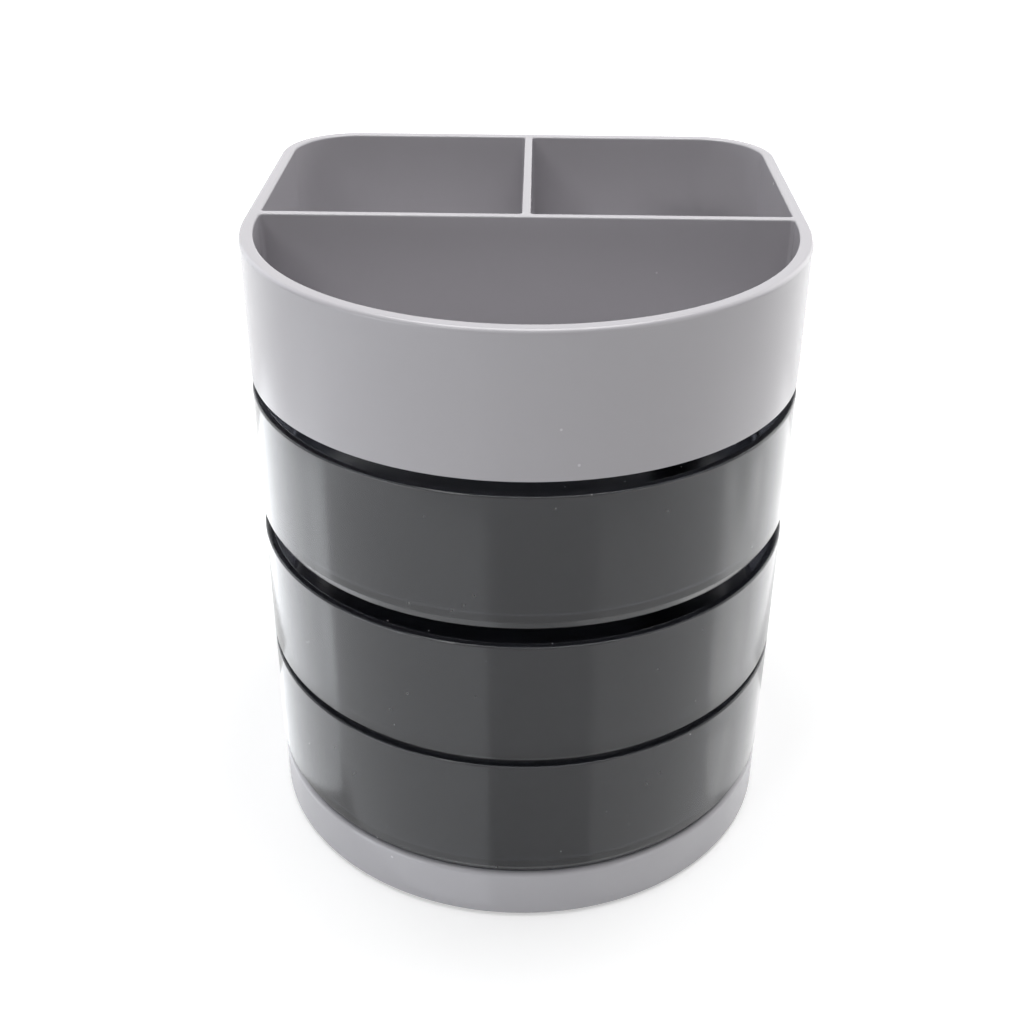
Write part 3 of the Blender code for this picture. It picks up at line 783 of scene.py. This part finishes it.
CAP_RADIUS = 8.2 * MM
CAP_ROUND = 0.35 * MM
CAP_EDGE = 0.1 * MM
CAP_PLUG_RADIUS = 4.6 * MM
CAP_PLUG_HEIGHT = 0.8 * MM
CAP_PLUG_LEAD = 0.2 * MM

PAD_RADIUS = 5.5 * MM
# How far in and how high each point of a rubber foot's rounded edge lies
PAD_EDGE = ((0.9 * MM, 0.0), (0.3 * MM, 0.05 * MM), (0.09 * MM, 0.14 * MM), (0.0, 0.35 * MM))


def stand_piece(piece, node):
    even_normals(piece)
    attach(piece, "stand")
    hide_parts(node)


def rounded_ring(inner, outer, height, soft):
    """A ring's profile with softened corners, counterclockwise from inside bottom."""
    cut = CORNER_SHARE * soft
    return [
        (inner + soft, 0.0), (outer - soft, 0.0), (outer - cut, cut), (outer, soft),
        (outer, height - soft), (outer - cut, height - cut), (outer - soft, height),
        (inner + soft, height), (inner + cut, height - cut), (inner, height - soft),
        (inner, soft), (inner + cut, cut),
    ]


def make_post():
    """A rod with a screw hole in each end, and a flat beside each end that keys it."""
    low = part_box("pivot_post")[0].z
    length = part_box("pivot_post")[1].z - low
    mouth = SCREW_HOLE + POST_HOLE_LEAD
    rim = POST_RADIUS - POST_CHAMFER
    profile = [
        (0.0, POST_HOLE_DEPTH), (SCREW_HOLE, POST_HOLE_DEPTH), (SCREW_HOLE, POST_HOLE_LEAD), (mouth, 0.0),
        (rim, 0.0), (POST_RADIUS, POST_CHAMFER), (POST_RADIUS, length - POST_CHAMFER), (rim, length),
        (mouth, length), (SCREW_HOLE, length - POST_HOLE_LEAD),
        (SCREW_HOLE, length - POST_HOLE_DEPTH), (0.0, length - POST_HOLE_DEPTH),
    ]
    post = lathe("post_rod", profile, STEEL, PIVOT, low, angle=HARDWARE_SHARP_ANGLE)
    size = (FLAT_CUTTER, 4.0 * POST_RADIUS, 2.0 * POST_FLAT_LENGTH)
    across = PIVOT[0] + POST_RADIUS - POST_FLAT_DEPTH + FLAT_CUTTER / 2.0
    cuts = [
        tool_box("flat_low", size, (across, PIVOT[1], low)),
        tool_box("flat_high", size, (across, PIVOT[1], low + length)),
    ]
    booleans(post, cuts, "DIFFERENCE", HARDWARE_SHARP_ANGLE)
    stand_piece(post, "pivot_post")


def make_spacers():
    for node in ("spacer_upper", "spacer_middle"):
        low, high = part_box(node)
        profile = rounded_ring(SOCKET_RADIUS, HUB_RADIUS, high.z - low.z, SPACER_ROUND)
        stand_piece(lathe(node + "_ring", profile, NYLON, PIVOT, low.z), node)


def make_washers():
    for node in ("cup_screw_washer", "base_screw_washer"):
        low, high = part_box(node)
        profile = rounded_ring(SCREW_HOLE, WASHER_RADIUS, high.z - low.z, WASHER_ROUND)
        stand_piece(lathe(node + "_ring", profile, STEEL, PIVOT, low.z), node)


def screw_profile():
    """Half of a pan-head screw's section, with its head's underside at height zero."""
    profile = [(0.0, HEAD_HEIGHT), (HEAD_FLAT * HEAD_RADIUS, HEAD_HEIGHT)]
    for step in range(1, HEAD_STEPS + 1):
        angle = math.pi / 2.0 * step / HEAD_STEPS
        out = HEAD_FLAT + (1.0 - HEAD_FLAT) * math.sin(angle)
        up = HEAD_SIDE + (1.0 - HEAD_SIDE) * math.cos(angle)
        profile.append((HEAD_RADIUS * out, HEAD_HEIGHT * up))
    profile += [
        (HEAD_RADIUS, HEAD_CHAMFER), (HEAD_RADIUS - HEAD_CHAMFER, 0.0),
        (SHANK_RADIUS, 0.0), (SHANK_RADIUS, -THREAD_TOP),
    ]
    for row in range(int(THREAD_LENGTH / THREAD_PITCH * 2)):
        radius = THREAD_ROOT if row % 2 else SHANK_RADIUS
        profile.append((radius, -THREAD_TOP - THREAD_PITCH / 2.0 * (row + 1)))
    return profile + [(SHANK_TIP, -SHANK_LENGTH), (0.0, -SHANK_LENGTH)]


def twist_thread(data, seat, flip):
    """Slides each thread vertex along the shank by its angle, so that the rings slant like a thread."""
    for vertex in data.vertices:
        down = (vertex.co.z - seat) * (1.0 if flip else -1.0)
        if TWIST_TOP < down < TWIST_BOTTOM:
            angle = math.atan2(vertex.co.y - PLAN_Y - PIVOT[1], vertex.co.x - PIVOT[0])
            slide = THREAD_PITCH * (angle / (2.0 * math.pi))
            vertex.co.z += slide * (-1.0 if flip else 1.0)


def make_screw(node, seat, flip):
    """A pan-head screw with a rolled thread and a cross recess. Its head's underside is at seat."""
    screw = lathe(node + "_turned", screw_profile(), STEEL, PIVOT, seat, flip, HARDWARE_SHARP_ANGLE)
    twist_thread(screw.data, seat, flip)
    middle = (*PIVOT, seat + (-1.0 if flip else 1.0) * (HEAD_HEIGHT + CROSS_RISE))
    slots = [
        tool_box("slot_a", (CROSS_LENGTH, CROSS_WIDTH, CROSS_HEIGHT), middle),
        tool_box("slot_b", (CROSS_WIDTH, CROSS_LENGTH, CROSS_HEIGHT), middle),
    ]
    booleans(screw, slots, "DIFFERENCE", HARDWARE_SHARP_ANGLE)
    stand_piece(screw, node)


def make_screws():
    make_screw("cup_screw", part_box("cup_screw")[1].z - HEAD_HEIGHT, False)
    make_screw("base_screw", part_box("base_screw")[0].z + HEAD_HEIGHT, True)


def make_cap():
    low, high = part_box("screw_cap")
    tall = high.z - low.z
    profile = [
        (0.0, 0.0), (CAP_PLUG_RADIUS - CAP_PLUG_LEAD, 0.0), (CAP_PLUG_RADIUS, CAP_PLUG_LEAD),
        (CAP_PLUG_RADIUS, CAP_PLUG_HEIGHT), (CAP_RADIUS - CAP_EDGE, CAP_PLUG_HEIGHT),
        (CAP_RADIUS, CAP_PLUG_HEIGHT + CAP_EDGE),
    ]
    crown = quarter(0.0, tall - CAP_ROUND, CAP_ROUND, CAP_ROUND)
    profile += [(CAP_RADIUS - inset, height) for inset, height in crown] + [(0.0, tall)]
    stand_piece(lathe("screw_cap_disc", profile, GREY, PIVOT, low.z), "screw_cap")


def make_feet():
    for place, centre in FEET.items():
        node = "foot_" + place
        low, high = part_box(node)
        tall = high.z - low.z
        edge = [(PAD_RADIUS - inset, height) for inset, height in PAD_EDGE]
        profile = [(0.0, 0.0), *edge, (PAD_RADIUS, tall), (0.0, tall)]
        stand_piece(lathe(node + "_pad", profile, RUBBER, centre, low.z), node)


make_cup()
make_trays()
make_base()
make_post()
make_spacers()
make_washers()
make_screws()
make_cap()
make_feet()


# Floor, light and camera

FLOOR_REACH = 6.0
FLOOR_COLOUR = (0.70, 0.70, 0.70, 1.0)
# The floor's glow grows between two distances from the middle, in metres, from one level to the other
GLOW_RADII = (0.11, 0.45)
GLOW_LEVELS = (0.42, 1.0)
AMBIENT_LEVEL = 0.08
SEEN_LEVEL = 1.0

WHITE = (1.0, 1.0, 1.0)
COOL = (0.93, 0.96, 1.0)
LAMP_TARGET = Vector((0.0, 0.0, 0.08))
CARD_HEIGHT = 1.0 * MM

# The camera solved from the photo: lens and sensor in mm, place in metres, turns in degrees
LENS = 48.65
SENSOR_WIDTH = 36.0
CAMERA_PLACE = (0.00204, -0.30780 + PLAN_Y, 0.25480)
CAMERA_HEADING = 0.888
CAMERA_LOOKS_DOWN = 30.084
CAMERA_ROLL = 0.421
NEAREST_SEEN = 0.01
FARTHEST_SEEN = 50.0


def floor_material():
    """A white floor that keeps the shadow near the object and is seen as white farther out."""
    material = bpy.data.materials.new("floor_white")
    material.use_nodes = True
    nodes = Nodes(material.node_tree)
    nodes.tree.nodes.clear()
    place = nodes.add("ShaderNodeTexCoord").outputs["Object"]
    radius = nodes.add("ShaderNodeVectorMath", {"operation": "LENGTH"}, Vector=place).outputs["Value"]
    glow = nodes.spread(radius, GLOW_RADII, GLOW_LEVELS, "SMOOTHSTEP")
    seen = nodes.math("MULTIPLY", nodes.seen_by_rays(), glow)
    both = nodes.add("ShaderNodeAddShader")
    nodes.set(both.inputs[0], nodes.add("ShaderNodeBsdfDiffuse", Color=FLOOR_COLOUR).outputs[0])
    nodes.set(both.inputs[1], nodes.add("ShaderNodeEmission", Strength=seen).outputs[0])
    nodes.add("ShaderNodeOutputMaterial", Surface=both.outputs[0])
    return material


def make_floor():
    mesh = bmesh.new()
    bmesh.ops.create_grid(mesh, x_segments=1, y_segments=1, size=FLOOR_REACH)
    floor = to_object(mesh, "floor")
    floor.data.materials.append(floor_material())


def make_world():
    """White where it is seen directly or mirrored, and a weak light on everything."""
    world = bpy.data.worlds.new("studio")
    bpy.context.scene.world = world
    world.use_nodes = True
    nodes = Nodes(world.node_tree)
    background = nodes.tree.nodes["Background"]
    nodes.set(background.inputs["Color"], (*WHITE, 1.0))
    level = nodes.spread(nodes.seen_by_rays(), (0.0, 1.0), (AMBIENT_LEVEL, SEEN_LEVEL))
    nodes.set(background.inputs["Strength"], level)


def area_lamp(name, width, height, power, colour):
    light = bpy.data.lights.new(name, "AREA")
    light.shape = "RECTANGLE"
    light.size = width
    light.size_y = height
    light.energy = power
    light.color = colour
    lamp = link(name, light)
    lamp.visible_camera = False
    return lamp


def softbox(place, location, width, height, power, colour=WHITE):
    """A soft lamp that is aimed at the object."""
    lamp = area_lamp("softbox_" + place, width, height, power, colour)
    lamp.location = location
    lamp.rotation_euler = (LAMP_TARGET - Vector(location)).to_track_quat("-Z", "Y").to_euler()


def card(place, corner, width, depth, power, colour=WHITE, turn=0.0):
    """A glowing card on the floor that shows only as a reflection. It spreads from its corner nearest the
    object: a negative width goes to the left and a negative depth to the front. turn is in degrees."""
    lamp = area_lamp("card_" + place, abs(width), abs(depth), power, colour)
    spread = Matrix.Rotation(math.radians(turn), 3, "Z") @ Vector((width / 2.0, depth / 2.0, 0.0))
    lamp.location = Vector((*corner, CARD_HEIGHT)) + spread
    lamp.rotation_euler = (math.pi, 0.0, math.radians(turn))
    lamp.visible_diffuse = False
    lamp.visible_transmission = False


def make_lights():
    """Soft boxes light the object. The cards give the bright sides that the smoked trays mirror."""
    softbox("top", (0.0, 0.05, 0.85), width=0.7, height=0.6, power=7.7)
    softbox("left", (-0.60, 0.35, 0.30), width=0.5, height=0.6, power=1.2, colour=COOL)
    softbox("right", (0.60, 0.35, 0.30), width=0.5, height=0.6, power=1.9)
    softbox("rear", (0.10, 0.85, 0.10), width=0.8, height=0.18, power=1.2)
    softbox("low_left", (-0.64, -0.48, 0.10), width=0.5, height=0.2, power=1.6, colour=COOL)
    softbox("low_right", (0.64, -0.48, 0.10), width=0.5, height=0.2, power=0.85)
    softbox("key", (-0.37, -0.59, 0.66), width=0.16, height=0.24, power=0.75)
    card("left_near", (-0.070, -0.052), width=-0.042, depth=0.075, power=0.011, colour=COOL)
    card("left_far", (-0.112, -0.052), width=-0.158, depth=0.22, power=0.18, colour=COOL)
    card("right_near", (0.070, -0.045), width=0.042, depth=0.065, power=0.005)
    card("right_far", (0.112, -0.045), width=0.158, depth=0.22, power=0.093)
    card("front_left_near", (-0.007, -0.072), width=-0.42, depth=-0.19, power=0.154, colour=COOL, turn=-14.2)
    card("front_left_far", (-0.055, -0.258), width=-0.42, depth=-0.40, power=0.10, colour=COOL, turn=-14.2)
    card("front_right", (0.020, -0.070), width=0.30, depth=-0.19, power=0.058, turn=32.0)


def make_camera():
    data = bpy.data.cameras.new("camera")
    data.lens = LENS
    data.sensor_width = SENSOR_WIDTH
    data.clip_start = NEAREST_SEEN
    data.clip_end = FARTHEST_SEEN
    camera = link("camera", data)
    heading = Matrix.Rotation(math.radians(CAMERA_HEADING), 4, "Z")
    tilt = Matrix.Rotation(math.radians(90.0 - CAMERA_LOOKS_DOWN), 4, "X")
    roll = Matrix.Rotation(math.radians(CAMERA_ROLL), 4, "Z")
    camera.matrix_world = Matrix.Translation(CAMERA_PLACE) @ heading @ tilt @ roll
    bpy.context.scene.camera = camera


make_floor()
make_world()
make_lights()
make_camera()
bpy.context.scene.view_settings.view_transform = "Standard"
